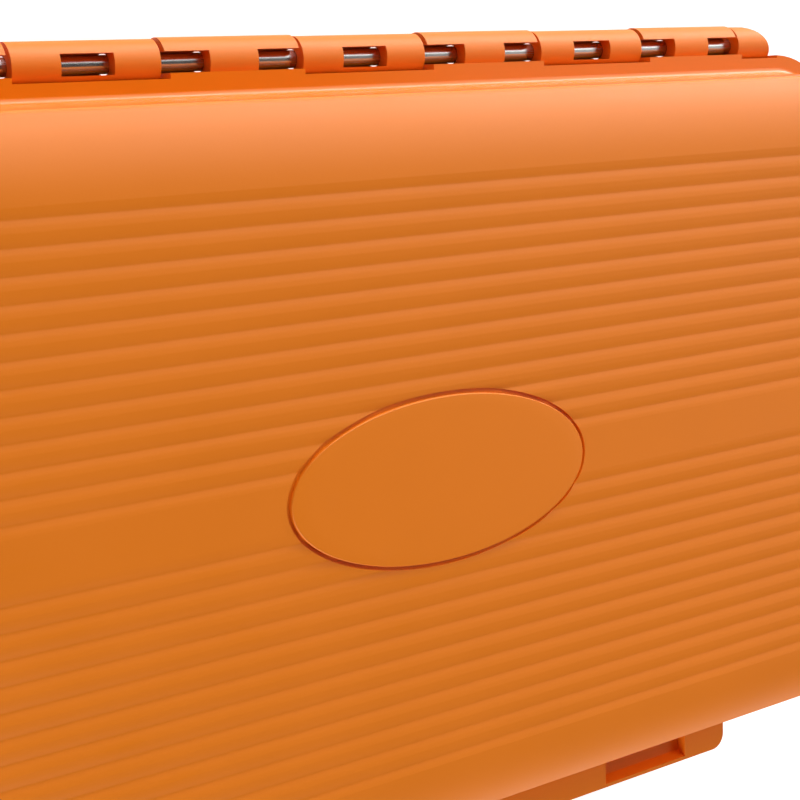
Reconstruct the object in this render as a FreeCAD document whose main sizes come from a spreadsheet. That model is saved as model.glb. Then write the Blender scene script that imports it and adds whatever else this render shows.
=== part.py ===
import FreeCAD, Part
import math
import os
import re
import Sketcher

# Fly box lying flat, lid up. X runs along the hinge, Y points from the latch to the hinge,
# Z is up. The origin is the middle of the flat underside. Lengths in mm, angles in degrees.
SIZES = (
    ("body_length", 155.0),
    ("body_width", 92.0),
    ("rim_corner", 12.5),
    ("rim_height", 3.6),
    ("rim_step", 1.7),
    ("lid_step", 2.4),
    ("wall_foot_radius", 0.8),
    ("base_depth", 20.0),
    ("base_draft", 5.0),
    ("base_edge_bevel", 3.0),
    ("base_cavity_bevel", 3.2),
    ("floor_thickness", 2.2),
    ("lid_depth", 15.4),
    ("lid_draft", 3.4),
    ("lid_cavity_bevel", 4.0),
    ("roof_thickness", 2.2),
    ("cavity_inset", 4.8),
    ("shoulder_run", 9.3),
    ("shoulder_drop", 3.3),
    ("shoulder_start_radius", 0.5),
    ("crease_bevel", 0.35),
    ("cut_margin", 4.0),
    ("rib_pitch", 2.65),
    ("plain_band", 7.95),
    ("groove_count", 12),
    ("groove_width", 2.55),
    ("groove_depth", 0.195),
    ("groove_radius", 0.6),
    ("crest_radius", 4.0),
    ("groove_end_gap", 1.0),
    ("badge_length", 40.2),
    ("badge_width", 19.1),
    ("badge_thickness", 0.65),
    ("badge_recess", 0.35),
    ("badge_gap", 0.5),
    ("hinge_offset", 1.4),
    ("knuckle_spacing", 33.8),
    ("knuckle_gap", 0.5),
    ("lid_knuckle_radius", 2.7),
    ("base_knuckle_radius", 2.55),
    ("hinge_end_inset", 12.2),
    ("end_knuckle_least", 4.5),
    ("end_knuckle_round", 4.0),
    ("knuckle_clearance", 0.3),
    ("knuckle_relief", 0.35),
    ("window_width", 5.9),
    ("window_overlap", 0.6),
    ("pin_diameter", 2.0),
    ("pin_gap", 0.05),
    ("slot_gap", 0.15),
    ("pin_end_cover", 2.5),
    ("pin_end_gap", 0.3),
    ("seal_width", 1.7),
    ("seal_depth", 1.8),
    ("seal_gap", 0.08),
    ("seal_inset", 3.0),
    ("notch_position", 38.65),
    ("latch_width", 106.6),
    ("latch_plate", 2.6),
    ("latch_edge_radius", 2.0),
    ("latch_rise", 5.5),
    ("tooth_height", 1.4),
    ("tooth_clearance", 0.6),
    ("plate_clearance", 1.8),
    ("thumb_width", 14.5),
    ("thumb_depth", 1.5),
    ("thumb_skin", 0.5),
    ("thumb_slope", 0.5),
    ("pivot_drop", 9.0),
    ("pivot_radius", 2.2),
    ("lug_width", 11.0),
    ("lug_gap", 0.35),
    ("lug_root", 1.3),
    ("strip_end_gap", 7.7),
    ("strip_width", 5.6),
    ("strip_side_gap", 6.9),
    ("strip_count", 8),
    ("base_strip_height", 8.0),
    ("lid_strip_height", 4.5),
)

os.makedirs("parts", exist_ok=True)
doc = FreeCAD.newDocument("FlyBox")
sheet = doc.addObject("Spreadsheet::Sheet", "Sizes")
for row, (name, size) in enumerate(SIZES, start=1):
    sheet.set("A%d" % row, name)
    sheet.set("B%d" % row, str(size))
    sheet.setAlias("B%d" % row, name)
doc.recompute()
NAMES = {name for name, size in SIZES}

# Places used by several pieces, as texts for expressions
HALF_WIDTH = "(body_width / 2)"
HALF_LENGTH = "(body_length / 2)"
AXIS_Y = "(body_width / 2 + hinge_offset)"
TOP = "(base_depth + lid_depth)"
WALL_CORNER = "(rim_corner - rim_step)"
LID_WALL_CORNER = "(rim_corner - lid_step)"
CAVITY_CORNER = "(rim_corner - cavity_inset)"
CREASE_INSET = "(lid_step + (lid_depth - rim_height - shoulder_drop) * tan(lid_draft * 1deg))"
SHOULDER_INSET = "(%s + shoulder_run)" % CREASE_INSET
BORE_RADIUS = "(pin_diameter / 2 + pin_gap)"
SLOT_HALF = "(pin_diameter / 2 + slot_gap)"
KNUCKLE_LENGTH = "(knuckle_spacing / 2 - knuckle_gap)"
HINGE_END = "(body_length / 2 - hinge_end_inset)"
PIN_END = "(%s - pin_end_cover)" % HINGE_END
# As many lid knuckles as leave room for the base's last ones
LID_KNUCKLES = "floor(2 * (%s - end_knuckle_least) / knuckle_spacing + 1 / 2)" % HINGE_END
BASE_KNUCKLES = "(%s - 1)" % LID_KNUCKLES
FIRST_LID = "(-knuckle_spacing * (%s - 1) / 2)" % LID_KNUCKLES
FIRST_BASE = "(-knuckle_spacing * (%s - 1) / 2)" % BASE_KNUCKLES
LAST_GAP = "(knuckle_spacing * (%s - 1) / 2 + knuckle_spacing / 4)" % LID_KNUCKLES
LATCH_INNER = "(body_width / 2 + plate_clearance)"
LATCH_OUTER = "(body_width / 2 + plate_clearance + latch_plate)"
PIVOT_Y = "(pivot_radius - (body_width / 2 + plate_clearance + latch_plate))"
PIVOT_Z = "(base_depth - pivot_drop)"
STRIP_LENGTH = "(body_length - 2 * (cavity_inset + strip_end_gap))"
STRIP_EDGE = "(body_width / 2 - cavity_inset - strip_side_gap)"
STRIP_PITCH = "((2 * %s - strip_width) / (strip_count - 1))" % STRIP_EDGE


def bind(text):
    """Point each size name in the text at its cell."""
    return re.sub(r"[a-z_]+", lambda m: "Sizes." + m[0] if m[0] in NAMES else m[0], text)


def number(text):
    """The present value of an expression text."""
    return float(sheet.evalExpression(bind(text)))


def point(x, y):
    return FreeCAD.Vector(number(x), number(y), 0)


class Drawing:
    """A sketch on one of a body's origin planes, every dimension bound to the sheet."""

    def __init__(self, body, name, role, offset="0"):
        self.sketch = body.newObject("Sketcher::SketchObject", name)
        plane = next(item for item in body.Origin.OriginFeatures if item.Role == role)
        self.sketch.AttachmentSupport = [(plane, "")]
        self.sketch.MapMode = "FlatFace"
        self.sketch.setExpression("AttachmentOffset.Base.z", bind(offset))
        doc.recompute()

    def add(self, shape):
        return self.sketch.addGeometry(shape, False)

    def tie(self, *terms):
        return self.sketch.addConstraint(Sketcher.Constraint(*terms))

    def measure(self, kind, terms, text):
        index = self.tie(kind, *terms, number(text))
        self.sketch.setExpression("Constraints[%d]" % index, bind(text))

    def pin(self, shape, end, x=None, y=None):
        if x is not None:
            self.measure("DistanceX", (-1, 1, shape, end), x)
        if y is not None:
            self.measure("DistanceY", (-1, 1, shape, end), y)

    def polygon(self, corners):
        spots = [point(x, y) for x, y in corners]
        lines = [self.add(Part.LineSegment(spots[i - 1], spots[i])) for i in range(len(spots))]
        for i, (x, y) in enumerate(corners):
            self.tie("Coincident", lines[i], 2, lines[(i + 1) % len(lines)], 1)
            self.pin(lines[i], 2, x, y)
        return self

    def box(self, left, bottom, right, top):
        return self.polygon(((left, bottom), (right, bottom), (right, top), (left, top)))

    def circle(self, x, y, radius):
        ring = self.add(Part.Circle(point(x, y), FreeCAD.Vector(0, 0, 1), number(radius)))
        self.pin(ring, 3, x, y)
        self.measure("Radius", (ring,), radius)
        return self

    def ellipse(self, length, width):
        far = FreeCAD.Vector(number(length) / 2, 0, 0)
        near = FreeCAD.Vector(0, number(width) / 2, 0)
        ring = self.add(Part.Ellipse(far, near, FreeCAD.Vector()))
        self.sketch.exposeInternalGeometry(ring)
        self.tie("Coincident", ring, 3, -1, 1)
        self.tie("Horizontal", ring + 1)
        self.measure("Distance", (ring + 1, 1, ring + 1, 2), length)
        self.measure("Distance", (ring + 2, 1, ring + 2, 2), width)
        return self

    def rounded_box(self, half_x, half_y, corner):
        across, along, radius = number(half_x), number(half_y), number(corner)
        turns = ((1, -1, -90), (1, 1, 0), (-1, 1, 90), (-1, -1, 180))
        arcs = []
        for side, end, start in turns:
            middle = FreeCAD.Vector(side * (across - radius), end * (along - radius), 0)
            circle = Part.Circle(middle, FreeCAD.Vector(0, 0, 1), radius)
            arcs.append(self.add(Part.ArcOfCircle(circle, math.radians(start), math.radians(start + 90))))
        for i, arc in enumerate(arcs):
            following = arcs[(i + 1) % len(arcs)]
            begin = self.sketch.getPoint(arc, 2)
            finish = self.sketch.getPoint(following, 1)
            line = self.add(Part.LineSegment(begin, finish))
            self.tie("Tangent", arc, 2, line, 1)
            self.tie("Tangent", line, 2, following, 1)
            self.tie("Horizontal" if i % 2 else "Vertical", line)
        for arc in arcs[1:]:
            self.tie("Equal", arcs[0], arc)
        self.measure("Radius", (arcs[0],), corner)
        self.pin(arcs[0], 2, half_x)
        self.pin(arcs[1], 2, None, half_y)
        self.tie("Symmetric", arcs[0], 3, arcs[2], 3, -1, 1)
        return self

    def arc(self, middle, start, end):
        """An arc turning left from start to end about a middle."""
        centre, first, last = point(*middle), point(*start), point(*end)
        circle = Part.Circle(centre, FreeCAD.Vector(0, 0, 1), (first - centre).Length)
        turns = [math.atan2(spot.y - centre.y, spot.x - centre.x) for spot in (first, last)]
        return self.add(Part.ArcOfCircle(circle, *turns))


def edges_where(feature, test):
    names = []
    for index, edge in enumerate(feature.Shape.Edges, start=1):
        if test(edge.BoundBox):
            names.append("Edge%d" % index)
    return names


class Piece:
    """A PartDesign body that becomes one sub-part."""

    def __init__(self, label):
        self.body = doc.addObject("PartDesign::Body", "Body_" + label)
        self.body.Label = label
        self.last = None

    def draw(self, name, role, offset="0"):
        return Drawing(self.body, name, role, offset)

    def _feature(self, kind, name):
        self.last = self.body.newObject("PartDesign::" + kind, name)
        return self.last

    def _extrude(self, kind, name, drawing, length, back, middle, taper):
        feature = self._feature(kind, name)
        feature.Profile = drawing.sketch
        feature.Reversed = back
        if middle:
            feature.SideType = "Symmetric"
        feature.setExpression("Length", bind(length))
        if taper:
            feature.setExpression("TaperAngle", bind(taper))
        doc.recompute()
        return feature

    def pad(self, name, drawing, length, back=False, middle=False, taper=None):
        return self._extrude("Pad", name, drawing, length, back, middle, taper)

    def pocket(self, name, drawing, length, back=False, middle=False):
        before = self.body.Shape.Volume
        feature = self._extrude("Pocket", name, drawing, length, back, middle, None)
        if feature.Shape.Volume > before - 1e-6:
            raise RuntimeError(name + " removed nothing")
        return feature

    def fillet(self, name, radius, test):
        base = self.last
        names = edges_where(base, test)
        feature = self._feature("Fillet", name)
        feature.Base = (base, names)
        feature.setExpression("Radius", bind(radius))
        doc.recompute()

    def bevel(self, name, size, test):
        base = self.last
        names = edges_where(base, test)
        feature = self._feature("Chamfer", name)
        feature.Base = (base, names)
        feature.setExpression("Size", bind(size))
        doc.recompute()

    def row(self, name, features, role, step, count, back=False):
        feature = self._feature("LinearPattern", name)
        axis = next(item for item in self.body.Origin.OriginFeatures if item.Role == role)
        feature.Originals = features
        feature.Direction = (axis, [""])
        feature.Reversed = back
        feature.setExpression("Length", bind("%s * (%s - 1)" % (step, count)))
        feature.setExpression("Occurrences", bind(count))
        self.body.Tip = feature
        doc.recompute()

    def mirror(self, name, features, role):
        feature = self._feature("Mirrored", name)
        plane = next(item for item in self.body.Origin.OriginFeatures if item.Role == role)
        feature.Originals = features
        feature.MirrorPlane = (plane, [""])
        self.body.Tip = feature
        doc.recompute()


def outline(drawing, inset, corner):
    half_x = "%s - %s" % (HALF_LENGTH, inset)
    half_y = "%s - %s" % (HALF_WIDTH, inset)
    return drawing.rounded_box(half_x, half_y, corner)


def round_barrels(piece, kind, radius, first, count):
    """A row of hinge barrels, the first one's middle at the given X."""
    sketch = piece.draw(kind + "_barrel_profile", "YZ_Plane", first)
    sketch.circle(AXIS_Y, "base_depth", radius)
    barrel = piece.pad(kind + "_barrel", sketch, KNUCKLE_LENGTH, middle=True)
    piece.row(kind + "_barrels", [barrel], "X_Axis", "knuckle_spacing", count)


def relief(piece, name, place, low, high):
    """The outline of a shallow cut down the rim's outer face."""
    sketch = piece.draw(name, "YZ_Plane", place)
    return sketch.box(HALF_WIDTH + " - knuckle_relief", low, HALF_WIDTH + " + cut_margin", high)


def coves(piece, kind, radius, first, count, low, high):
    """Clearance in the rim for the other half's barrels, with a relief of the rim's face."""
    span = KNUCKLE_LENGTH + " + 2 * knuckle_gap"
    sketch = piece.draw(kind + "_cove_profile", "YZ_Plane", first)
    sketch.circle(AXIS_Y, "base_depth", radius + " + knuckle_clearance")
    cove = piece.pocket(kind + "_cove", sketch, span, middle=True)
    face = piece.pocket(kind + "_relief", relief(piece, kind + "_face", first, low, high), span, middle=True)
    piece.row(kind + "_coves", [cove, face], "X_Axis", "knuckle_spacing", count)


def windows(piece, kind, spans, first, count, back):
    """Straight openings from the hinge axis out to one side, as a two part mould leaves them."""
    sketch = piece.draw(kind + "_window_profile", "XY_Plane", "base_depth")
    for left, right in spans:
        low = "%s - %s" % (AXIS_Y, SLOT_HALF)
        high = "%s + %s" % (AXIS_Y, SLOT_HALF)
        sketch.box("%s + %s" % (first, left), low, "%s + %s" % (first, right), high)
    window = piece.pocket(kind + "_window", sketch, "rim_height + cut_margin", back=back)
    piece.row(kind + "_windows", [window], "X_Axis", "knuckle_spacing", count)


def bore(piece, kind):
    sketch = piece.draw(kind + "_bore_profile", "YZ_Plane", PIN_END)
    sketch.circle(AXIS_Y, "base_depth", BORE_RADIUS)
    piece.pocket(kind + "_bore", sketch, "2 * body_length")


def make_lid():
    lid = Piece("lid_shell")
    rim = outline(lid.draw("rim_outline", "XY_Plane", "base_depth"), "0", "rim_corner")
    lid.pad("rim", rim, "rim_height")
    wall = lid.draw("wall_outline", "XY_Plane", "base_depth + rim_height")
    outline(wall, "lid_step", LID_WALL_CORNER)
    lid.pad("wall", wall, "lid_depth - rim_height", taper="-lid_draft")
    rim_top = number("base_depth + rim_height")
    reach_x = number(HALF_LENGTH + " - lid_step") + 1e-3
    reach_y = number(HALF_WIDTH + " - lid_step") + 1e-3
    lid.fillet("wall_foot", "wall_foot_radius", lambda b: (
        abs(b.ZMin - rim_top) < 1e-4 and b.ZLength < 1e-4
        and max(b.XMax, -b.XMin) < reach_x and max(b.YMax, -b.YMin) < reach_y))

    # The shoulder is a long soft arc swept round the top, ending in a crease above the wall
    path = lid.draw("shoulder_path", "XY_Plane", TOP)
    outline(path, SHOULDER_INSET, "shoulder_start_radius")
    cut = lid.draw("shoulder_profile", "YZ_Plane")
    near = "%s - %s" % (HALF_WIDTH, SHOULDER_INSET)
    crease = "%s + shoulder_run" % near
    far = "%s + cut_margin" % crease
    low = "%s - shoulder_drop" % TOP
    bend = "((shoulder_run ^ 2 + shoulder_drop ^ 2) / (2 * shoulder_drop))"
    arc = cut.arc((near, "%s - %s" % (TOP, bend)), (crease, low), (near, TOP))
    cut.pin(arc, 1, crease, low)
    cut.pin(arc, 2, near, TOP)
    cut.pin(arc, 3, near)
    stops = ((crease, low), (far, low + " - shoulder_drop"), (far, TOP + " + cut_margin"))
    stops += ((near, TOP + " + cut_margin"), (near, TOP))
    for i in range(len(stops) - 1):
        line = cut.add(Part.LineSegment(point(*stops[i]), point(*stops[i + 1])))
        cut.pin(line, 1, *stops[i])
        cut.pin(line, 2, *stops[i + 1])
    shoulder = lid._feature("SubtractivePipe", "shoulder")
    shoulder.Profile = cut.sketch
    shoulder.Spine = path.sketch
    doc.recompute()
    crease_height = number(low)
    lid.bevel("crease", "crease_bevel", lambda b: abs(b.ZMin - crease_height) < 0.01 and b.ZLength < 0.01)

    inside = outline(lid.draw("cavity_outline", "XY_Plane", "base_depth"), "cavity_inset", CAVITY_CORNER)
    lid.pocket("cavity", inside, "lid_depth - roof_thickness", back=True)
    roof = number(TOP + " - roof_thickness")
    lid.bevel("cavity_edge", "lid_cavity_bevel", lambda b: abs(b.ZMin - roof) < 1e-3 and b.ZLength < 1e-3)

    # Soft ribs on both sides of a plain band, ending short of the shoulder
    length = "2 * (%s - %s - groove_end_gap)" % (HALF_LENGTH, SHOULDER_INSET)
    for side, name in ((1, "upper"), (-1, "lower")):
        groove = lid.draw(name + "_groove_profile", "YZ_Plane")
        draw_groove(groove, "%d * plain_band / 2" % side)
        cut = lid.pocket(name + "_groove", groove, length, middle=True)
        lid.row(name + "_grooves", [cut], "Y_Axis", "rib_pitch", "groove_count", back=side < 0)

    seat = lid.draw("badge_seat_outline", "XY_Plane", TOP)
    seat.ellipse("badge_length + 2 * badge_gap", "badge_width + 2 * badge_gap")
    lid.pocket("badge_seat", seat, "badge_recess")

    rise = ("base_depth", "base_depth + rim_height + cut_margin")
    coves(lid, "base_knuckle", "base_knuckle_radius", FIRST_BASE, BASE_KNUCKLES, *rise)
    start = LAST_GAP + " - knuckle_gap / 2"
    end = lid.draw("end_cove_profile", "YZ_Plane", start)
    end.circle(AXIS_Y, "base_depth", "base_knuckle_radius + knuckle_clearance")
    span = "%s + knuckle_clearance - (%s)" % (HINGE_END, start)
    cove = lid.pocket("end_cove", end, span, back=True)
    face = lid.pocket("end_relief", relief(lid, "end_face", start, *rise), span, back=True)
    lid.mirror("end_coves", [cove, face], "YZ_Plane")

    round_barrels(lid, "lid_knuckle", "lid_knuckle_radius", FIRST_LID, LID_KNUCKLES)
    tab = lid.draw("hinge_tab_profile", "YZ_Plane", FIRST_LID)
    tab.box(HALF_WIDTH + " - rim_step", "base_depth", "%s - %s" % (AXIS_Y, SLOT_HALF), "base_depth + rim_height")
    block = lid.pad("hinge_tab", tab, KNUCKLE_LENGTH, middle=True)
    lid.row("hinge_tabs", [block], "X_Axis", "knuckle_spacing", LID_KNUCKLES)
    bore(lid, "lid")
    edge = "(knuckle_spacing / 4)"
    spans = (("-" + edge, "-window_width / 2"), ("window_width / 2", edge))
    windows(lid, "lid_front", spans, FIRST_LID, LID_KNUCKLES, True)
    spans = (("-window_width / 2 - window_overlap", "window_width / 2 + window_overlap"),)
    windows(lid, "lid_rear", spans, FIRST_LID, LID_KNUCKLES, False)
    return lid.body


def draw_groove(groove, place):
    """A narrow rounded groove between two wide crowned ribs."""
    half = number("groove_width") / 2
    depth = number("groove_depth")
    small = number("groove_radius")
    large = number("crest_radius")
    height = number(TOP)
    middle = number(place)
    rise = small - depth
    reach = math.hypot(half, rise)
    bend = math.acos((large ** 2 + reach ** 2 - (small + large) ** 2) / (2 * large * reach))
    slope = math.atan2(rise, half) - bend
    crown = FreeCAD.Vector(-half + large * math.cos(slope), large * math.sin(slope), 0)
    bottom = FreeCAD.Vector(0, rise, 0)
    meet = bottom + (crown - bottom) * (small / (small + large))

    def spot(vector, side=1):
        return FreeCAD.Vector(middle + side * vector.x, height + vector.y, 0)

    def arc(centre, radius, start, end):
        turns = [math.atan2(p.y - centre.y, p.x - centre.x) for p in (start, end)]
        circle = Part.Circle(centre, FreeCAD.Vector(0, 0, 1), radius)
        return groove.add(Part.ArcOfCircle(circle, *turns))

    edge = FreeCAD.Vector(-half, 0, 0)
    left = arc(spot(crown), large, spot(meet), spot(edge))
    base = arc(spot(bottom), small, spot(meet), spot(meet, -1))
    right = arc(spot(crown, -1), large, spot(edge, -1), spot(meet, -1))
    groove.tie("Tangent", left, 1, base, 1)
    groove.tie("Tangent", base, 2, right, 2)
    groove.measure("Radius", (left,), "crest_radius")
    groove.measure("Radius", (base,), "groove_radius")
    groove.measure("Radius", (right,), "crest_radius")
    groove.pin(base, 3, place, TOP + " - groove_depth + groove_radius")
    stops = (
        (place + " + groove_width / 2", TOP),
        (place + " + groove_width / 2", TOP + " + cut_margin"),
        (place + " - groove_width / 2", TOP + " + cut_margin"),
        (place + " - groove_width / 2", TOP),
    )
    groove.pin(right, 1, *stops[0])
    groove.pin(left, 2, *stops[-1])
    for i in range(len(stops) - 1):
        line = groove.add(Part.LineSegment(point(*stops[i]), point(*stops[i + 1])))
        groove.pin(line, 1, *stops[i])
        groove.pin(line, 2, *stops[i + 1])


def make_base():
    base = Piece("base_shell")
    rim = outline(base.draw("rim_outline", "XY_Plane", "base_depth"), "0", "rim_corner")
    base.pad("rim", rim, "rim_height", back=True)
    wall = outline(base.draw("wall_outline", "XY_Plane", "base_depth - rim_height"), "rim_step", WALL_CORNER)
    base.pad("wall", wall, "base_depth - rim_height", back=True, taper="-base_draft")
    base.bevel("bottom_edge", "base_edge_bevel", lambda b: b.ZMax < 1e-4)
    inside = outline(base.draw("cavity_outline", "XY_Plane", "base_depth"), "cavity_inset", CAVITY_CORNER)
    base.pocket("cavity", inside, "base_depth - floor_thickness")
    floor = number("floor_thickness")
    base.bevel("cavity_edge", "base_cavity_bevel", lambda b: abs(b.ZMax - floor) < 1e-3 and b.ZLength < 1e-3)

    seat = base.draw("seal_groove_outline", "XY_Plane", "base_depth")
    draw_ring(seat, "(seal_width / 2 + seal_gap)")
    base.pocket("seal_groove", seat, "seal_depth")

    drop = ("base_depth - rim_height - cut_margin", "base_depth")
    coves(base, "lid_knuckle", "lid_knuckle_radius", FIRST_LID, LID_KNUCKLES, *drop)
    round_barrels(base, "base_knuckle", "base_knuckle_radius", FIRST_BASE, BASE_KNUCKLES)
    tab = base.draw("hinge_tab_profile", "YZ_Plane", FIRST_BASE)
    tab.box(HALF_WIDTH + " - rim_step", "base_depth - rim_height", "%s - %s" % (AXIS_Y, SLOT_HALF), "base_depth")
    block = base.pad("hinge_tab", tab, KNUCKLE_LENGTH, middle=True)
    base.row("hinge_tabs", [block], "X_Axis", "knuckle_spacing", BASE_KNUCKLES)

    start = LAST_GAP + " + knuckle_gap / 2"
    end = base.draw("end_barrel_profile", "YZ_Plane", start)
    end.circle(AXIS_Y, "base_depth", "base_knuckle_radius")
    barrel = base.pad("end_barrel", end, "%s - (%s)" % (HINGE_END, start))
    base.mirror("end_barrels", [barrel], "YZ_Plane")
    trim = base.draw("end_round_profile", "XY_Plane", "base_depth")
    right, rear = HINGE_END, "%s + base_knuckle_radius" % AXIS_Y
    inner, low = right + " - end_knuckle_round", rear + " - end_knuckle_round"
    arc = trim.arc((inner, low), (right, low), (inner, rear))
    trim.pin(arc, 1, right, low)
    trim.pin(arc, 2, inner, rear)
    trim.pin(arc, 3, inner)
    stops = ((inner, rear), (inner, rear + " + cut_margin"))
    stops += ((right + " + cut_margin", rear + " + cut_margin"), (right + " + cut_margin", low), (right, low))
    for i in range(len(stops) - 1):
        line = trim.add(Part.LineSegment(point(*stops[i]), point(*stops[i + 1])))
        trim.pin(line, 1, *stops[i])
        trim.pin(line, 2, *stops[i + 1])
    corner = base.pocket("end_round", trim, "4 * base_knuckle_radius", middle=True)
    base.mirror("end_rounds", [corner], "YZ_Plane")
    bore(base, "base")
    spans = (("-window_width / 2", "window_width / 2"),)
    windows(base, "base_front", spans, FIRST_BASE, BASE_KNUCKLES, True)
    edge = "(knuckle_spacing / 4)"
    inner = "window_width / 2 - window_overlap"
    spans = (("-" + edge, "-(%s)" % inner), (inner, edge))
    windows(base, "base_rear", spans, FIRST_BASE, BASE_KNUCKLES, False)

    # Two lugs carry the latch on its pin
    root = base.draw("lug_root_profile", "YZ_Plane", "notch_position")
    inner = "-(%s - cavity_inset + lug_root)" % HALF_WIDTH
    root.box(PIVOT_Y, PIVOT_Z + " - pivot_radius", inner, PIVOT_Z + " + pivot_radius")
    arm = base.pad("lug_arm", root, "lug_width", middle=True)
    nose = base.draw("lug_nose_profile", "YZ_Plane", "notch_position")
    tip = base.pad("lug_nose", nose.circle(PIVOT_Y, PIVOT_Z, "pivot_radius"), "lug_width", middle=True)
    hole = base.draw("lug_bore_profile", "YZ_Plane", "notch_position")
    drill = base.pocket("lug_bore", hole.circle(PIVOT_Y, PIVOT_Z, BORE_RADIUS), "2 * lug_width", middle=True)
    base.mirror("lugs", [arm, tip, drill], "YZ_Plane")
    return base.body


def draw_ring(drawing, half):
    """Two rounded outlines either side of the middle of the seal."""
    outline(drawing, "(seal_inset - %s)" % half, "rim_corner - seal_inset + %s" % half)
    outline(drawing, "(seal_inset + %s)" % half, "rim_corner - seal_inset - %s" % half)
    return drawing


def make_seal():
    seal = Piece("rim_seal")
    ring = draw_ring(seal.draw("ring", "XY_Plane", "base_depth"), "(seal_width / 2)")
    seal.pad("ring_body", ring, "seal_depth", back=True)
    return seal.body


def make_badge():
    badge = Piece("badge_plate")
    face = badge.draw("oval", "XY_Plane", TOP + " - badge_recess").ellipse("badge_length", "badge_width")
    badge.pad("plate", face, "badge_thickness")
    return badge.body


def make_latch():
    latch = Piece("latch")
    top = "base_depth + latch_rise"
    plate = latch.draw("plate_profile", "YZ_Plane")
    plate.box("-" + LATCH_OUTER, PIVOT_Z, "-" + LATCH_INNER, top)
    latch.pad("plate", plate, "latch_width", middle=True)
    outer = -number(LATCH_OUTER)
    latch.fillet("ends", "latch_edge_radius", lambda b: abs(b.YMax - outer) < 1e-4 and b.XLength < 1e-4)
    tooth = latch.draw("tooth_profile", "YZ_Plane")
    tooth.box("-" + LATCH_INNER, top + " - tooth_height", "-%s - tooth_clearance" % HALF_WIDTH, top)
    latch.pad("tooth", tooth, "latch_width", middle=True)
    barrel = latch.draw("barrel_profile", "YZ_Plane")
    latch.pad("barrel", barrel.circle(PIVOT_Y, PIVOT_Z, "pivot_radius"), "latch_width", middle=True)
    thumb = latch.draw("thumb_profile", "YZ_Plane", "notch_position")
    back = "-%s + cut_margin" % HALF_WIDTH
    skin = "thumb_skin - " + LATCH_OUTER
    floor = top + " - thumb_depth"
    thumb.polygon((
        (skin + " + thumb_slope", floor),
        (back, floor),
        (back, top + " + cut_margin"),
        (skin, top + " + cut_margin"),
        (skin, top),
    ))
    notch = latch.pocket("thumb_notch", thumb, "thumb_width", middle=True)
    gap = latch.draw("lug_gap_profile", "YZ_Plane", "notch_position")
    gap.box(
        "-%s - cut_margin" % LATCH_OUTER,
        PIVOT_Z + " - 2 * pivot_radius",
        "-%s + cut_margin" % LATCH_INNER,
        PIVOT_Z + " + pivot_radius + lug_gap",
    )
    slot = latch.pocket("lug_notch", gap, "lug_width + 2 * lug_gap", middle=True)
    latch.mirror("notches", [notch, slot], "YZ_Plane")
    hole = latch.draw("bore_profile", "YZ_Plane")
    latch.pocket("bore", hole.circle(PIVOT_Y, PIVOT_Z, BORE_RADIUS), "2 * latch_width", middle=True)
    return latch.body


def make_rod(label, x, y, z, length):
    """A steel rod along X from the given end."""
    rod = doc.addObject("Part::Cylinder", "Rod_" + label)
    rod.Label = label
    rod.Placement = FreeCAD.Placement(FreeCAD.Vector(), FreeCAD.Rotation(FreeCAD.Vector(0, 1, 0), 90))
    rod.setExpression("Radius", bind("pin_diameter / 2"))
    rod.setExpression("Height", bind(length))
    rod.setExpression("Placement.Base.x", bind(x))
    rod.setExpression("Placement.Base.y", bind(y))
    rod.setExpression("Placement.Base.z", bind(z))
    return rod


def make_strip(label, index, bottom, height):
    """One strip of slit foam, glued along the length of a half."""
    strip = doc.addObject("Part::Box", "Strip_" + label)
    strip.Label = label
    strip.setExpression("Length", bind(STRIP_LENGTH))
    strip.setExpression("Width", bind("strip_width"))
    strip.setExpression("Height", bind(height))
    strip.setExpression("Placement.Base.x", bind("-%s / 2" % STRIP_LENGTH))
    place = "%d * %s - %s" % (index, STRIP_PITCH, STRIP_EDGE)
    strip.setExpression("Placement.Base.y", bind(place))
    strip.setExpression("Placement.Base.z", bind(bottom))
    return strip


pieces = [make_base(), make_lid(), make_seal(), make_badge()]
pieces.append(make_latch())
pieces.append(make_rod("hinge_pin", "-" + PIN_END, AXIS_Y, "base_depth", "2 * %s - pin_end_gap" % PIN_END))
start = "pin_end_gap - latch_width / 2"
pieces.append(make_rod("latch_pin", start, PIVOT_Y, PIVOT_Z, "latch_width - 2 * pin_end_gap"))
for index in range(int(number("strip_count"))):
    pieces.append(make_strip("base_foam_%d" % (index + 1), index, "floor_thickness", "base_strip_height"))
for index in range(int(number("strip_count"))):
    bottom = TOP + " - roof_thickness - lid_strip_height"
    pieces.append(make_strip("lid_foam_%d" % (index + 1), index, bottom, "lid_strip_height"))
doc.recompute()

for item in doc.Objects:
    if "Invalid" in item.State or "Error" in item.State:
        raise RuntimeError("%s did not compute" % item.Label)
for piece in pieces:
    shape = piece.Shape
    if not shape.isValid() or len(shape.Solids) != 1:
        raise RuntimeError("%s is not one valid solid" % piece.Label)
for piece in pieces:
    piece.Shape.exportStep("parts/%s.step" % piece.Label)
    box = piece.Shape.BoundBox
    print("%-16s %9.1f mm3  Z %.2f to %.2f  Y %.2f to %.2f" % (
        piece.Label, piece.Shape.Volume, box.ZMin, box.ZMax, box.YMin, box.YMax))
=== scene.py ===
"""Looks of a moulded fly box: its plastic, steel, rubber and foam finishes, the bare oval
plate, the sealing bead, the slit foam strips, and a plain studio stage.

Lengths are in metres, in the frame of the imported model: X along the hinge, Y towards it, Z up.
"""

import math

import bmesh
import bpy
from mathutils import Matrix, Vector


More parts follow.
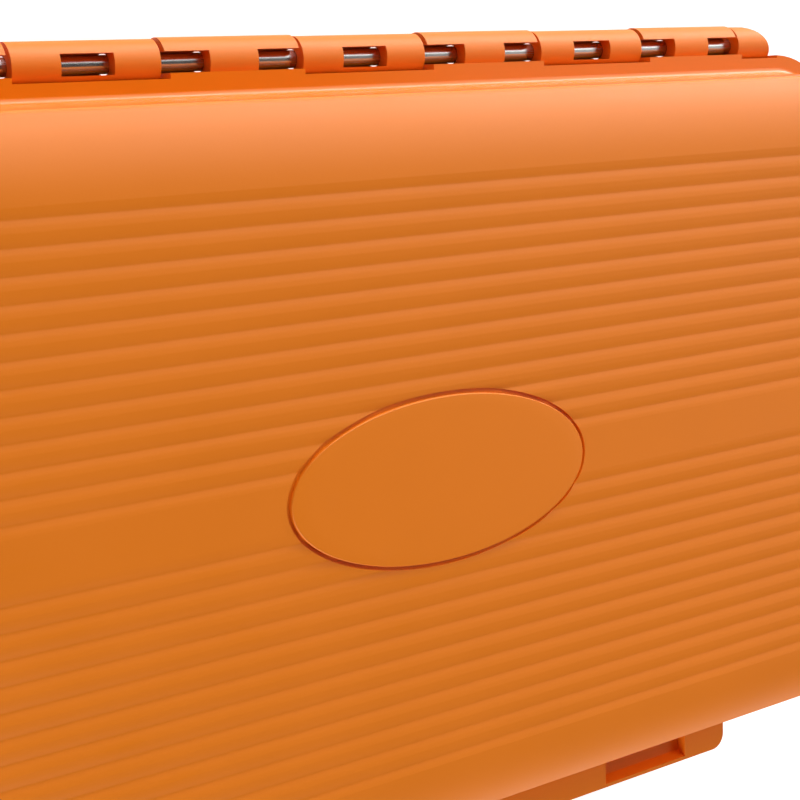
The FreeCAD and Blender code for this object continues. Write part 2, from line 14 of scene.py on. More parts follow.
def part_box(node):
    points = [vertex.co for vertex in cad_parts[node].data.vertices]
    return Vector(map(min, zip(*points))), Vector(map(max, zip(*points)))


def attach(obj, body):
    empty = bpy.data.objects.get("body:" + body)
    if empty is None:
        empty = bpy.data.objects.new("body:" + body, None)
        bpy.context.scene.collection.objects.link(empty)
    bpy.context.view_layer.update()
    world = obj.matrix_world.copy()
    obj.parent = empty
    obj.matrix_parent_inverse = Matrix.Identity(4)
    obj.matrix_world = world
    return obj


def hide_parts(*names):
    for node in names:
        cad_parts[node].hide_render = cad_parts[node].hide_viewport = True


bl_info = {
    "name": "Fly box looks",
    "version": (1, 0, 0),
    "blender": (4, 5, 0),
    "location": "View3D > Sidebar > Fly box",
    "description": "Finishes and soft pieces of a hinged fly box, and its studio stage",
    "category": "Object",
}

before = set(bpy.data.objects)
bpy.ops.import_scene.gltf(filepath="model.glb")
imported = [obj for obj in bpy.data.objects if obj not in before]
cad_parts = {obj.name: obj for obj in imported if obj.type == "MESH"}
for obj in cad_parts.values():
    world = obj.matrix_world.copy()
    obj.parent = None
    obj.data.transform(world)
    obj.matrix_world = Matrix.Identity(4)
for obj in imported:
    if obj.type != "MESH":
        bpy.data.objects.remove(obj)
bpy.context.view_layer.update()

STRIP_COUNT = sum(name.startswith("base_foam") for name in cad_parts)
GRAINED_NODES = ("base_shell", "latch")
STEEL_NODES = ("hinge_pin", "latch_pin")
SOFTBOXES = ("key", "strip", "side", "fill")
SHARP_ANGLE = math.radians(50)
QUARTER_TURN = math.pi / 2
FULL_TURN = math.pi * 2

# Each slit in the foam has four stations along the strip: top, foot, foot, top
STATIONS = 4
MIDDLE_STATION = (STATIONS - 1) / 2

# A noise texture varies about this value
NOISE_MIDDLE = 0.5

# Places of the colour sockets on a Mix node, whose names repeat
MIX_FACTOR = 0
MIX_FIRST = 6
MIX_SECOND = 7
MIX_RESULT = 2


# Node trees


class Wire:
    """An output socket that takes part in plain arithmetic."""

    def __init__(self, sheet, socket):
        self.sheet = sheet
        self.socket = socket

    def math(self, operation, *others):
        """The result of a Math node on this value and the others."""
        return self.sheet.node("ShaderNodeMath", {"operation": operation}, (self, *others))

    def __add__(self, other):
        return self.math("ADD", other)

    __radd__ = __add__

    def __mul__(self, other):
        return self.math("MULTIPLY", other)

    __rmul__ = __mul__

    def __sub__(self, other):
        return self.math("SUBTRACT", other)

    def __rsub__(self, other):
        return self.sheet.node("ShaderNodeMath", {"operation": "SUBTRACT"}, (other, self))

    def __truediv__(self, other):
        return self.math("DIVIDE", other)

    def __rtruediv__(self, other):
        return self.sheet.node("ShaderNodeMath", {"operation": "DIVIDE"}, (other, self))

    def __gt__(self, other):
        return self.math("GREATER_THAN", other)

    def __lt__(self, other):
        return self.math("LESS_THAN", other)


class Sheet:
    """A node tree under construction."""

    def __init__(self, tree):
        self.tree = tree

    def node(self, kind, settings=None, sockets=(), out=0):
        """Add a node with its settings, then the values or links of its sockets."""
        made = self.tree.nodes.new(kind)
        for key, value in (settings or {}).items():
            setattr(made, key, value)
        pairs = sockets.items() if isinstance(sockets, dict) else enumerate(sockets)
        for key, value in pairs:
            if isinstance(value, Wire):
                self.tree.links.new(value.socket, made.inputs[key])
            else:
                made.inputs[key].default_value = value
        return Wire(self, made.outputs[out]) if made.outputs else made


class Finish(Sheet):
    """A procedural material."""

    def __init__(self, name):
        self.material = bpy.data.materials.new(name)
        self.material.use_nodes = True
        super().__init__(self.material.node_tree)
        self.tree.nodes.clear()
        self.place = self.node("ShaderNodeTexCoord", out="Object")

    def axis(self, letter):
        """One coordinate of the point on the surface."""
        return self.node("ShaderNodeSeparateXYZ", sockets={"Vector": self.place}, out=letter)

    def noise(self, grain, detail=2.0, stretch=1.0):
        """Cloudy values from 0 to 1, with features of the grain's size, drawn out along X."""
        sockets = {"Vector": self.place, "Scale": (1 / stretch, 1.0, 1.0)}
        scaled = self.node("ShaderNodeMapping", sockets=sockets)
        sockets = {"Vector": scaled, "Scale": 1 / grain, "Detail": detail}
        return self.node("ShaderNodeTexNoise", sockets=sockets)

    def ramp(self, value, low, high, start=0.0, end=1.0):
        """A smooth change from start to end as the value goes from low to high."""
        settings = {"interpolation_type": "SMOOTHSTEP"}
        return self.node("ShaderNodeMapRange", settings, (value, low, high, start, end))

    def tint(self, value, hue, tone_shares):
        """A hue that goes from its darker to its lighter tone with the value."""
        dark, light = (shade(hue, tone) for tone in tone_shares)
        sockets = {MIX_FACTOR: value, MIX_FIRST: dark, MIX_SECOND: light}
        return self.node("ShaderNodeMix", {"data_type": "RGBA"}, sockets, MIX_RESULT)

    def bump(self, height, depth, strength=1.0):
        """The surface's direction with a fine relief of the given depth."""
        sockets = {"Height": height, "Distance": depth, "Strength": strength}
        return self.node("ShaderNodeBump", sockets=sockets)

    def surface(self, **values):
        """End in a Principled shader, whose sockets are given in snake case."""
        sockets = {}
        for name, value in values.items():
            sockets[name.replace("_", " ").title().replace("Ior", "IOR")] = value
        shader = self.node("ShaderNodeBsdfPrincipled", sockets=sockets)
        self.node("ShaderNodeOutputMaterial", sockets={"Surface": shader})
        return self.material


class Recipe(Sheet):
    """A geometry node tree with named inputs."""

    def __init__(self, name, inputs):
        super().__init__(bpy.data.node_groups.new(name, "GeometryNodeTree"))
        interface = self.tree.interface
        interface.new_socket("Geometry", in_out="OUTPUT", socket_type="NodeSocketGeometry")
        self.keys = {}
        for label, kind in inputs.items():
            socket = interface.new_socket(label, in_out="INPUT", socket_type="NodeSocket" + kind)
            self.keys[label] = socket.identifier
        self.entry = self.tree.nodes.new("NodeGroupInput")

    def given(self, label):
        """A named input of the tree."""
        return Wire(self, self.entry.outputs[label])

    def vector(self, x=0.0, y=0.0, z=0.0):
        return self.node("ShaderNodeCombineXYZ", sockets=(x, y, z))

    def outline(self, width, height, radius, steps):
        """A closed oblong with rounded corners."""
        sockets = {"Width": width, "Height": height}
        plain = self.node("GeometryNodeCurvePrimitiveQuadrilateral", sockets=sockets)
        sockets = {"Curve": plain, "Count": steps, "Radius": radius}
        return self.node("GeometryNodeFilletCurve", {"mode": "POLY"}, sockets)

    def move(self, shape, offset, turn=(0.0, 0.0, 0.0)):
        sockets = {"Geometry": shape, "Translation": offset, "Rotation": turn}
        return self.node("GeometryNodeTransform", sockets=sockets)

    def finish(self, shape):
        """End the tree with its finish on plain geometry."""
        solid = self.node("GeometryNodeRealizeInstances", sockets={"Geometry": shape})
        sockets = {"Geometry": solid, "Material": self.given("Material")}
        coated = self.node("GeometryNodeSetMaterial", sockets=sockets)
        self.node("NodeGroupOutput", sockets={"Geometry": coated})

    def make(self, name, values):
        """Run the tree on the values and keep the result as a plain mesh."""
        piece = new_object(name, bpy.data.meshes.new(name))
        modifier = piece.modifiers.new(name, "NODES")
        modifier.node_group = self.tree
        for label, value in values.items():
            modifier[self.keys[label]] = value
        graph = bpy.context.evaluated_depsgraph_get()
        mesh = bpy.data.meshes.new_from_object(piece.evaluated_get(graph))
        piece.modifiers.remove(modifier)
        piece.data = mesh
        smooth(mesh)
        return piece


def new_object(name, data):
    """Add an object to the scene."""
    made = bpy.data.objects.new(name, data)
    bpy.context.scene.collection.objects.link(made)
    return made


def smooth(mesh):
    """Shade a mesh smoothly, apart from its sharp edges."""
    mesh.shade_smooth()
    mesh.set_sharp_from_angle(angle=SHARP_ANGLE)


def coat(node, material):
    """Give a CAD node its finish."""
    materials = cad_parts[node].data.materials
    materials.clear()
    materials.append(material)


def shade(hue, tone_share=1.0):
    """A hue made darker or lighter, with full alpha."""
    return (*(channel * tone_share for channel in hue), 1.0)


# Finishes


def moulded_plastic(name, look, polish_from, polish_to):
    """Satin plastic with a fine grain, polished between two heights. Equal heights polish nothing."""
    finish = Finish(name)
    height = finish.axis("Z")
    cloud = finish.noise(look.cloud_size)
    grain = finish.noise(look.grain_size)
    rubs = finish.noise(look.rub_size, look.rub_detail, look.rub_stretch)
    polished = (height > polish_from) * (height < polish_to)
    rubbed = finish.ramp(rubs, *look.rub_levels) * look.rub_change
    drift = cloud - NOISE_MIDDLE
    satin = look.satin_roughness + drift * look.satin_drift - rubbed
    gloss = look.polished_roughness + drift * look.polished_drift + rubbed
    return finish.surface(
        base_color=finish.tint(cloud, look.plastic_colour, look.plastic_tone_shares),
        roughness=satin + (gloss - satin) * polished,
        normal=finish.bump(grain * (1.0 - polished), look.grain_depth),
        specular_IOR_level=look.plastic_specular,
    )


def plate_plastic(name, look):
    """Smooth plastic of the oval plate, a little rubbed."""
    finish = Finish(name)
    cloud = finish.noise(look.cloud_size)
    grain = finish.noise(look.grain_size)
    rubs = finish.noise(look.rub_size, look.rub_detail)
    rubbed = finish.ramp(rubs, *look.plate_rub_levels) * look.rub_change
    drift = cloud - NOISE_MIDDLE
    return finish.surface(
        base_color=finish.tint(cloud, look.plastic_colour, look.plate_tone_shares),
        roughness=look.plate_roughness + drift * look.plate_drift + rubbed,
        normal=finish.bump(grain, look.grain_depth, look.plate_relief),
        specular_IOR_level=look.plastic_specular,
    )


def drawn_steel(name, look):
    """Drawn wire with fine lines along its length."""
    finish = Finish(name)
    lines = finish.noise(look.line_size, look.line_detail, look.line_stretch)
    stains = finish.noise(look.cloud_size)
    return finish.surface(
        base_color=finish.tint(stains, look.steel_colour, look.steel_tone_shares),
        metallic=1.0,
        roughness=look.steel_roughness + lines * look.line_change,
        normal=finish.bump(lines, look.grain_depth, look.line_relief),
    )


def seal_rubber(name, look):
    """Dull rubber with a little dust on it."""
    finish = Finish(name)
    dust = finish.noise(look.rub_size, look.rub_detail)
    grain = finish.noise(look.grain_size)
    return finish.surface(
        base_color=finish.tint(dust, look.rubber_colour, look.rubber_tone_shares),
        roughness=look.rubber_roughness + dust * look.dust_change,
        normal=finish.bump(grain, look.grain_depth),
    )


def cell_foam(name, look):
    """Closed cell foam: matt, with small round cells cut open on its faces, and painted shade darkening
    the open cells.
    """
    finish = Finish(name)
    sockets = {"Vector": finish.place, "Scale": 1 / look.cell_size}
    cells = finish.node("ShaderNodeTexVoronoi", sockets=sockets, out="Distance")
    cloud = finish.noise(look.cloud_size)
    # The cells' relief also sets the colour: the foam is darker in each hollow, which is painted shade
    cell_relief_and_shade = finish.ramp(cells, *look.cell_wall_shares)
    return finish.surface(
        base_color=finish.tint(cell_relief_and_shade, look.foam_colour, look.foam_pit_shade_shares),
        roughness=look.foam_roughness + cloud * look.foam_change,
        normal=finish.bump(cell_relief_and_shade, look.cell_depth),
        sheen_weight=look.foam_sheen,
    )


def studio_floor(name, stage):
    """A pale floor that looks white where it is seen or mirrored, with the object's shadow on it."""
    finish = Finish(name)
    rays = ("Is Camera Ray", "Is Glossy Ray", "Is Transmission Ray")
    direct, mirrored, refracted = (finish.node("ShaderNodeLightPath", out=ray) for ray in rays)
    settings = {"operation": "LENGTH"}
    reach = finish.node("ShaderNodeVectorMath", settings, (finish.place,), out="Value")
    lift = finish.ramp(reach, stage.lift_start, stage.lift_end, stage.near_lift, stage.far_lift)
    strength = (direct + mirrored + refracted) * lift
    paint = finish.node("ShaderNodeBsdfDiffuse", sockets={"Color": shade(stage.floor_colour)})
    glow = finish.node("ShaderNodeEmission", sockets={"Strength": strength})
    both = finish.node("ShaderNodeAddShader", sockets=(paint, glow))
    finish.node("ShaderNodeOutputMaterial", sockets={"Surface": both})
    return finish.material


# Sizes and colours that a user would change


def length(label, text, default):
    return bpy.props.FloatProperty(
        name=label, description=text, default=default, min=0.0, precision=5, unit="LENGTH")


def number(label, text, default):
    return bpy.props.FloatProperty(name=label, description=text, default=default, min=0.0)


def count(label, text, default, least):
    return bpy.props.IntProperty(name=label, description=text, default=default, min=least)


def share(label, text, default):
    return bpy.props.FloatProperty(
        name=label, description=text, default=default, min=0.0, subtype="FACTOR")


def span(label, text, default):
    return bpy.props.FloatVectorProperty(name=label, description=text, default=default, size=2, min=0.0)


def colour(label, text, default):
    return bpy.props.FloatVectorProperty(
        name=label, description=text, default=default, min=0.0, max=1.0, subtype="COLOR")


def spot(label, text, default, kind="TRANSLATION"):
    return bpy.props.FloatVectorProperty(name=label, description=text, default=default, subtype=kind)


def extent(label, text, default):
    return bpy.props.FloatVectorProperty(
        name=label, description=text, default=default, size=2, min=0.0, unit="LENGTH")


def power(label, text, default):
    return bpy.props.FloatProperty(name=label, description=text, default=default, min=0.0, unit="POWER")


class FinishLooks(bpy.types.PropertyGroup):
    """Colours, gloss and grain of the materials."""

    cloud_size: length("Cloud size", "Size of the slow changes in tone", 0.012)
    grain_size: length("Grain size", "Size of the grain on plastic and rubber", 0.0003)
    grain_depth: length("Grain depth", "Depth of the grain and of the steel's lines", 0.000006)
    rub_size: length("Rub size", "Width of the faint rub marks and dust", 0.002)
    rub_detail: number("Rub detail", "Finer layers in the rub marks and dust", 4.0)
    rub_stretch: number("Rub stretch", "Length of the shells' rub marks over their width", 5.0)
    rub_levels: span("Rub levels", "Noise between which the shells' rub marks come in", (0.6, 0.75))
    rub_change: share("Rub change", "How far a rub mark changes the roughness", 0.05)

    plastic_colour: colour("Plastic", "Colour of the shells, latch and plate", (0.82, 0.2, 0.003))
    plastic_tone_shares: span("Plastic tones", "Darkest and lightest tone of the mouldings", (0.97, 1.02))
    plastic_specular: share("Plastic specular", "Strength of the plastic's plain reflection", 0.45)
    satin_roughness: share("Satin roughness", "Roughness of the grained faces", 0.48)
    satin_drift: share("Satin drift", "Slow change in the grained faces' roughness", 0.08)
    polished_roughness: share("Polished roughness", "Roughness of the polished faces", 0.2)
    polished_drift: share("Polished drift", "Slow change in the polished faces' roughness", 0.05)
    rim_rise: length("Rim rise", "Height of the lid's rim above the seal", 0.0036)
    crease_drop: length("Crease drop", "Depth of the shoulder's crease below the lid's top", 0.0033)

    plate_tone_shares: span("Plate tones", "Darkest and lightest tone of the plate", (0.99, 1.04))
    plate_roughness: share("Plate roughness", "Roughness of the oval plate", 0.46)
    plate_drift: share("Plate drift", "Slow change in the plate's roughness", 0.06)
    plate_rub_levels: span("Plate rub levels", "Noise between which its rub marks come in", (0.55, 0.75))
    plate_relief: share("Plate relief", "Strength of the grain on the plate", 0.4)

    steel_colour: colour("Steel", "Colour of the pins", (0.56, 0.55, 0.53))
    steel_tone_shares: span("Steel tones", "Darkest and lightest tone of the pins", (0.9, 1.0))
    steel_roughness: share("Steel roughness", "Least roughness of the pins", 0.18)
    line_size: length("Line size", "Width of the drawing lines on the pins", 0.0001)
    line_detail: number("Line detail", "Finer layers in the drawing lines", 3.0)
    line_stretch: number("Line stretch", "Length of a drawing line over its width", 100.0)
    line_change: share("Line change", "How far the lines change the roughness", 0.15)
    line_relief: share("Line relief", "Strength of the lines' relief", 0.4)

    rubber_colour: colour("Rubber", "Colour of the sealing bead", (0.02, 0.02, 0.021))
    rubber_tone_shares: span("Rubber tones", "Darkest and lightest tone of the bead", (0.8, 1.3))
    rubber_roughness: share("Rubber roughness", "Least roughness of the bead", 0.6)
    dust_change: share("Dust change", "How far dust changes the roughness", 0.2)

    foam_colour: colour("Foam", "Colour of the foam strips", (0.62, 0.62, 0.6))
    # The darker foam tone is painted shade, laid into the open cells by cell_foam
    foam_pit_shade_shares: span("Foam tones", "Darkest and lightest tone of the foam", (0.82, 1.0))
    foam_roughness: share("Foam roughness", "Least roughness of the foam", 0.85)
    foam_change: share("Foam change", "Slow change in the foam's roughness", 0.1)
    foam_sheen: share("Foam sheen", "Strength of the soft sheen", 0.2)
    cell_size: length("Cell size", "Size of the cells in the foam", 0.0005)
    cell_depth: length("Cell depth", "Depth of the open cells", 0.00006)
    cell_wall_shares: span("Cell wall", "Shares of a cell between which its wall rises", (0.1, 0.6))


class PlateShape(bpy.types.PropertyGroup):
    """Shape of the bare oval plate."""

    edge_radius: length("Edge radius", "Rounding of the plate's edge", 0.00015)
    crown: length("Crown", "How far the middle stands above the edge", 0.00008)
    segments: count("Segments", "Points round the oval", 160, 24)
    edge_steps: count("Edge steps", "Steps over the rounded edge", 5, 2)
    face_rings: count("Face rings", "Rings across the face", 10, 2)


class BeadShape(bpy.types.PropertyGroup):
    """Shape of the sealing bead in the base's rim."""

    width: length("Bead width", "Width of the bead", 0.0017)
    corner: length("Bead corner", "Outer radius of the bead's corners", 0.01035)
    corner_steps: count("Bead corner steps", "Points round a corner of the bead", 12, 2)
    edge_radius: length("Bead edge", "Rounding of the bead's edges", 0.00055)
    edge_steps: count("Bead edge steps", "Points over a rounded edge", 4, 2)


class FoamShape(bpy.types.PropertyGroup):
    """Shape of the slit foam strips."""

    slit_spacing: length("Slit spacing", "Distance between the slits that hold the hooks", 0.004)
    slit_width: length("Slit width", "How far a slit stands open", 0.00035)
    slit_wall: length("Slit wall", "How far a slit's side slopes", 0.00008)
    slit_share: share("Slit depth", "Depth of a slit as a share of the strip's height", 0.6)
    edge_radius: length("Foam edge", "Rounding of the strip's long edges", 0.0007)
    edge_steps: count("Foam edge steps", "Points over a rounded edge", 4, 2)


class StageSetup(bpy.types.PropertyGroup):
    """Camera, lights and floor."""

    camera_place: spot("Camera place", "Where the camera stands", (-0.0986, 0.0436, 0.1786))
    camera_target: spot("Camera target", "Point in the middle of the picture", (-0.00566, 0.00992, 0.0354))
    camera_up: spot("Camera up", "What points up in the picture", (0.14063, 0.98022, -0.13926), "XYZ")
    camera_lens: bpy.props.FloatProperty(
        name="Lens", description="Focal length on a 36 mm sensor", default=70.9, unit="CAMERA")
    camera_near: length("Camera near", "Distance from which the camera shows things", 0.001)
    floor_colour: colour("Floor", "Colour of the floor", (0.7, 0.7, 0.7))
    floor_reach: length("Floor reach", "Half the side of the floor", 20.0)
    near_lift: share("Near lift", "White added to the floor near the object", 0.6)
    far_lift: share("Far lift", "White added to the floor far from the object", 1.0)
    lift_start: length("Lift start", "Distance at which the floor begins to lighten", 0.3)
    lift_end: length("Lift end", "Distance at which the floor has fully lightened", 1.0)
    surround_low: share("Surround low", "Brightness of the surround at the horizon", 0.3)
    surround_high: share("Surround high", "Brightness of the surround overhead", 0.05)
    key_place: spot("Key place", "Where the large softbox behind the hinge stands", (0.366, 0.785, 0.5))
    key_size: extent("Key size", "Width and height of the key light", (1.6, 1.0))
    key_power: power("Key power", "Power of the key light", 10.8)
    strip_place: spot("Strip place", "Where the low softbox by the hinge stands", (0.492, 0.853, 0.174))
    strip_size: extent("Strip size", "Width and height of the strip light", (1.4, 0.25))
    strip_power: power("Strip power", "Power of the strip light", 8.0)
    side_place: spot("Side place", "Where the softbox on the right stands", (0.766, 0.0, 0.643))
    side_size: extent("Side size", "Width and height of the side light", (0.8, 0.6))
    side_power: power("Side power", "Power of the side light", 1.0)
    fill_place: spot("Fill place", "Where the softbox in front stands", (-0.402, -0.862, 0.309))
    fill_size: extent("Fill size", "Width and height of the fill light", (1.2, 0.6))
    fill_power: power("Fill power", "Power of the fill light", 11.0)


# Pieces


class FLYBOX_OT_dress_plastic(bpy.types.Operator):
    """Give the shells and the latch their moulded plastic"""

    bl_idname = "flybox.dress_plastic"
    bl_label = "Dress plastic"

    def execute(self, context):
        look = context.scene.flybox_finish
        rim_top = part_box("rim_seal")[1].z + look.rim_rise
        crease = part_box("lid_shell")[1].z - look.crease_drop
        coat("lid_shell", moulded_plastic("lid_plastic", look, rim_top, crease))
        grained = moulded_plastic("base_plastic", look, 0.0, 0.0)
        for node in GRAINED_NODES:
            coat(node, grained)
        return {"FINISHED"}


class FLYBOX_OT_dress_steel(bpy.types.Operator):
    """Give the hinge pin and the latch pin their drawn steel"""

    bl_idname = "flybox.dress_steel"
    bl_label = "Dress steel"

    def execute(self, context):
        steel = drawn_steel("pin_steel", context.scene.flybox_finish)
        for node in STEEL_NODES:
            coat(node, steel)
        return {"FINISHED"}


class FLYBOX_OT_build_plate(bpy.types.Operator):
    """Build the bare oval plate in the lid, with a rounded edge and a faint crown"""

    bl_idname = "flybox.build_plate"
    bl_label = "Build oval plate"

    def execute(self, context):
        shape = context.scene.flybox_plate
        low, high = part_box("badge_plate")
        middle = (low + high) / 2
        mesh = bmesh.new()
        rings = []
        for across, along, height in self.stations(shape, low, high):
            rings.append(self.ring(mesh, shape.segments, middle, across, along, height))
        sides = [(i, (i + 1) % shape.segments) for i in range(shape.segments)]
        for lower, upper in zip(rings, rings[1:]):
            for i, j in sides:
                mesh.faces.new((lower[i], lower[j], upper[j], upper[i]))
        top = mesh.verts.new((middle.x, middle.y, high.z))
        foot = mesh.verts.new((middle.x, middle.y, low.z))
        for i, j in sides:
            mesh.faces.new((rings[-1][i], rings[-1][j], top))
            mesh.faces.new((rings[0][j], rings[0][i], foot))
        data = bpy.data.meshes.new("oval_plate")
        mesh.to_mesh(data)
        mesh.free()
        smooth(data)
        data.materials.append(plate_plastic("plate_plastic", context.scene.flybox_finish))
        plate = new_object("oval_plate", data)
        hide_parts("badge_plate")
        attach(plate, "lid")
        return {"FINISHED"}

    @staticmethod
    def stations(shape, low, high):
        """Half width, half depth and height of each ring, from the foot to the crown."""
        half = (high - low) / 2
        radius = shape.edge_radius
        edge_top = high.z - shape.crown
        rings = [(half.x, half.y, low.z)]
        for step in range(shape.edge_steps + 1):
            turn = QUARTER_TURN * step / shape.edge_steps
            inset = radius * (1 - math.cos(turn))
            drop = radius * (1 - math.sin(turn))
            rings.append((half.x - inset, half.y - inset, edge_top - drop))
        for step in range(1, shape.face_rings):
            left = 1 - step / shape.face_rings
            height = edge_top + shape.crown * (1 - left ** 2)
            rings.append(((half.x - radius) * left, (half.y - radius) * left, height))
        return rings

    @staticmethod
    def ring(mesh, points, middle, across, along, height):
        """The points of one oval."""
        spots = []
        for i in range(points):
            turn = FULL_TURN * i / points
            x = middle.x + across * math.cos(turn)
            y = middle.y + along * math.sin(turn)
            spots.append(mesh.verts.new((x, y, height)))
        return spots


class FLYBOX_OT_build_bead(bpy.types.Operator):
    """Sweep the sealing bead round the rim of the base"""

    bl_idname = "flybox.build_bead"
    bl_label = "Build sealing bead"

    def execute(self, context):
        shape = context.scene.flybox_bead
        low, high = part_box("rim_seal")
        size = high - low
        values = {
            "Length": size.x,
            "Width": size.y,
            "Corner": shape.corner,
            "Corner steps": shape.corner_steps,
            "Bead width": shape.width,
            "Bead height": size.z,
            "Edge radius": shape.edge_radius,
            "Edge steps": shape.edge_steps,
            "Top": high.z,
            "Material": seal_rubber("bead_rubber", context.scene.flybox_finish),
        }
        bead = self.sweep().make("sealing_bead", values)
        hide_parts("rim_seal")
        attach(bead, "base")
        return {"FINISHED"}

    @staticmethod
    def sweep():
        """A rounded section swept along the middle line of the bead."""
        inputs = {
            "Length": "Float",
            "Width": "Float",
            "Corner": "Float",
            "Corner steps": "Int",
            "Bead width": "Float",
            "Bead height": "Float",
            "Edge radius": "Float",
            "Edge steps": "Int",
            "Top": "Float",
            "Material": "Material",
        }
        recipe = Recipe("sealing_bead", inputs)
        width, height = recipe.given("Bead width"), recipe.given("Bead height")
        line_length, line_width = recipe.given("Length") - width, recipe.given("Width") - width
        radius = recipe.given("Corner") - width * 0.5
        line = recipe.outline(line_length, line_width, radius, recipe.given("Corner steps"))
        line = recipe.move(line, recipe.vector(z=recipe.given("Top")))
        section = recipe.outline(width, height, recipe.given("Edge radius"), recipe.given("Edge steps"))
        section = recipe.move(section, recipe.vector(y=height * 0.5))
        sockets = {"Curve": line, "Profile Curve": section}
        recipe.finish(recipe.node("GeometryNodeCurveToMesh", sockets=sockets))
        return recipe


class FLYBOX_OT_build_foam(bpy.types.Operator):
    """Build the rows of slit foam strips in both halves"""

    bl_idname = "flybox.build_foam"
    bl_label = "Build foam strips"

    def execute(self, context):
        shape = context.scene.flybox_foam
        recipe = self.strips()
        material = cell_foam("strip_foam", context.scene.flybox_finish)
        for body, turn in (("base", 0.0), ("lid", math.pi)):
            nodes = ["%s_foam_%d" % (body, i + 1) for i in range(STRIP_COUNT)]
            low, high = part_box(nodes[0])
            size = high - low
            values = {
                "Length": size.x,
                "Width": size.y,
                "Height": size.z,
                "Edge radius": shape.edge_radius,
                "Edge steps": shape.edge_steps,
                "Slits": round(size.x / shape.slit_spacing) - 1,
                "Slit width": shape.slit_width,
                "Slit wall": shape.slit_wall,
                "Slit depth": shape.slit_share * size.z,
                "Strips": STRIP_COUNT,
                "Pitch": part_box(nodes[1])[0].y - low.y,
                "Seat": high.z if turn else low.z,
                "Turn": turn,
                "Material": material,
            }
            foam = recipe.make(body + "_foam_strips", values)
            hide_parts(*nodes)
            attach(foam, body)
        return {"FINISHED"}

    def strips(self):
        """A row of like strips on its seat."""
        inputs = {
            "Length": "Float",
            "Width": "Float",
            "Height": "Float",
            "Edge radius": "Float",
            "Edge steps": "Int",
            "Slits": "Int",
            "Slit width": "Float",
            "Slit wall": "Float",
            "Slit depth": "Float",
            "Strips": "Int",
            "Pitch": "Float",
            "Seat": "Float",
            "Turn": "Float",
            "Material": "Material",
        }
        recipe = Recipe("slit_foam_strips", inputs)
        strip = self.strip(recipe)
        strips, pitch = recipe.given("Strips"), recipe.given("Pitch")
        first = recipe.vector(y=(strips - 1) * pitch * -0.5)
        sockets = {"Count": strips, "Start Location": first, "Offset": recipe.vector(y=pitch)}
        row = recipe.node("GeometryNodeMeshLine", sockets=sockets)
        row = recipe.node("GeometryNodeInstanceOnPoints", sockets={"Points": row, "Instance": strip})
        turn = recipe.vector(x=recipe.given("Turn"))
        recipe.finish(recipe.move(row, recipe.vector(z=recipe.given("Seat")), turn))
        return recipe

    @staticmethod
    def strip(recipe):
        """One strip, swept along X through the stations of its slits, where the top is pressed down."""
        slits, height = recipe.given("Slits"), recipe.given("Height")
        half, wall = recipe.given("Slit width") * 0.5, recipe.given("Slit wall")
        spacing = recipe.given("Length") / (slits + 1)
        start = recipe.given("Length") * -0.5

        index = recipe.node("GeometryNodeInputIndex") - 1
        slit = (index / STATIONS).math("FLOOR")
        station = index - slit * STATIONS
        side = (station > MIDDLE_STATION) * 2 - 1
        outer = (station - MIDDLE_STATION).math("ABSOLUTE") > 1
        along = start + (slit + 1) * spacing + side * (half + wall * outer)
        line = recipe.node("GeometryNodeCurvePrimitiveLine", sockets={"End": (1.0, 0.0, 0.0)})
        sockets = {"Curve": line, "Count": slits * STATIONS + 2}
        line = recipe.node("GeometryNodeResampleCurve", sockets=sockets)
        sockets = {"Geometry": line, "Position": recipe.vector(x=along)}
        line = recipe.node("GeometryNodeSetPosition", sockets=sockets)
        radius, steps = recipe.given("Edge radius"), recipe.given("Edge steps")
        section = recipe.outline(recipe.given("Width"), height, radius, steps)
        section = recipe.move(section, recipe.vector(y=height * -0.5))
        sockets = {"Curve": line, "Profile Curve": section, "Fill Caps": True}
        strip = recipe.node("GeometryNodeCurveToMesh", sockets=sockets)

        place = recipe.node("GeometryNodeInputPosition")
        x, y, z = (recipe.node("ShaderNodeSeparateXYZ", sockets=(place,), out=axis) for axis in "XYZ")
        turns = (x - start) / spacing
        gap = (turns - turns.math("ROUND")).math("ABSOLUTE") * spacing
        inside = gap < half + wall * 0.5
        pressed = z.math("MINIMUM", height - recipe.given("Slit depth"))
        sockets = {"Geometry": strip, "Selection": inside, "Position": recipe.vector(x, y, pressed)}
        return recipe.node("GeometryNodeSetPosition", sockets=sockets)


# Stage


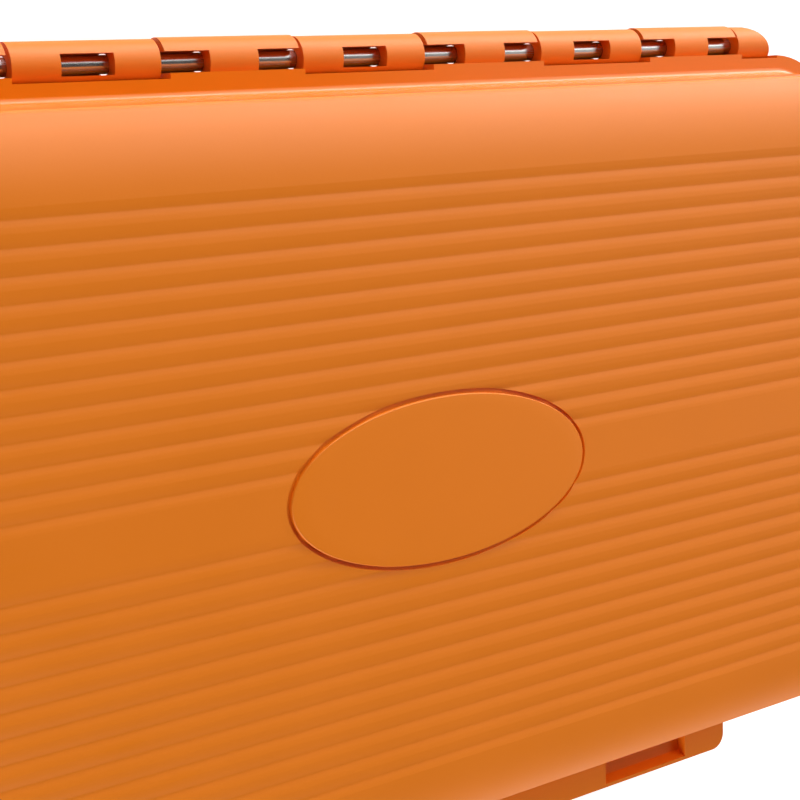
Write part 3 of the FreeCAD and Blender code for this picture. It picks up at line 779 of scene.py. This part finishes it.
class FLYBOX_OT_build_stage(bpy.types.Operator):
    """Build the floor, the surround, the soft lights and the camera"""

    bl_idname = "flybox.build_stage"
    bl_label = "Build stage"

    def execute(self, context):
        stage = context.scene.flybox_stage
        context.scene.view_settings.view_transform = "Standard"
        self.floor(stage)
        self.surround(context.scene, stage)
        for name in SOFTBOXES:
            self.softbox(stage, name)
        self.camera(context.scene, stage)
        return {"FINISHED"}

    @staticmethod
    def floor(stage):
        """A wide square floor at the object's foot."""
        reach = stage.floor_reach
        data = bpy.data.meshes.new("studio_floor")
        corners = [(-reach, -reach, 0), (reach, -reach, 0), (reach, reach, 0), (-reach, reach, 0)]
        data.from_pydata(corners, [], [(0, 1, 2, 3)])
        data.materials.append(studio_floor("floor_paint", stage))
        new_object("studio_floor", data)

    @staticmethod
    def surround(scene, stage):
        """A dim studio that grows darker from the horizon to overhead."""
        world = bpy.data.worlds.new("studio_surround")
        world.use_nodes = True
        scene.world = world
        sheet = Sheet(world.node_tree)
        sheet.tree.nodes.clear()
        ray = sheet.node("ShaderNodeTexCoord", out="Generated")
        rise = sheet.node("ShaderNodeSeparateXYZ", sockets=(ray,), out="Z")
        sockets = (rise, 0.0, 1.0, stage.surround_low, stage.surround_high)
        level = sheet.node("ShaderNodeMapRange", sockets=sockets)
        light = sheet.node("ShaderNodeBackground", sockets={"Strength": level})
        sheet.node("ShaderNodeOutputWorld", sockets={"Surface": light})

    @staticmethod
    def softbox(stage, name):
        """A soft light that faces the origin."""
        data = bpy.data.lights.new(name + "_softbox", "AREA")
        data.shape = "RECTANGLE"
        data.size, data.size_y = getattr(stage, name + "_size")
        data.energy = getattr(stage, name + "_power")
        lamp = new_object(name + "_softbox", data)
        lamp.location = getattr(stage, name + "_place")
        lamp.rotation_euler = lamp.location.to_track_quat("Z", "Y").to_euler()
        lamp.visible_camera = False

    @staticmethod
    def camera(scene, stage):
        """The camera at the photograph's place."""
        data = bpy.data.cameras.new("photo_camera")
        data.lens = stage.camera_lens
        data.clip_start = stage.camera_near
        camera = new_object("photo_camera", data)
        place = Vector(stage.camera_place)
        back = (place - Vector(stage.camera_target)).normalized()
        right = Vector(stage.camera_up).cross(back).normalized()
        up = back.cross(right)
        turn = Matrix((right, up, back)).transposed().to_4x4()
        camera.matrix_world = Matrix.Translation(place) @ turn
        scene.camera = camera


class FLYBOX_PT_panel(bpy.types.Panel):
    """Sizes, colours and building steps of the fly box"""

    bl_idname = "FLYBOX_PT_panel"
    bl_label = "Fly box"
    bl_space_type = "VIEW_3D"
    bl_region_type = "UI"
    bl_category = "Fly box"

    def draw(self, context):
        for name in GROUPS:
            settings = getattr(context.scene, name)
            box = self.layout.box()
            for key in type(settings).__annotations__:
                box.prop(settings, key)
        for step in STEPS:
            self.layout.operator(step.bl_idname)


GROUPS = {
    "flybox_finish": FinishLooks,
    "flybox_plate": PlateShape,
    "flybox_bead": BeadShape,
    "flybox_foam": FoamShape,
    "flybox_stage": StageSetup,
}
STEPS = (
    FLYBOX_OT_dress_plastic,
    FLYBOX_OT_dress_steel,
    FLYBOX_OT_build_plate,
    FLYBOX_OT_build_bead,
    FLYBOX_OT_build_foam,
    FLYBOX_OT_build_stage,
)


def register():
    for item in (*GROUPS.values(), *STEPS, FLYBOX_PT_panel):
        bpy.utils.register_class(item)
    for name, group in GROUPS.items():
        setattr(bpy.types.Scene, name, bpy.props.PointerProperty(type=group))


def unregister():
    for name in GROUPS:
        delattr(bpy.types.Scene, name)
    for item in (FLYBOX_PT_panel, *reversed(STEPS), *reversed(GROUPS.values())):
        bpy.utils.unregister_class(item)


def main():
    register()
    bpy.ops.flybox.dress_plastic()
    bpy.ops.flybox.dress_steel()
    bpy.ops.flybox.build_plate()
    bpy.ops.flybox.build_bead()
    bpy.ops.flybox.build_foam()
    bpy.ops.flybox.build_stage()


if __name__ == "__main__":
    main()
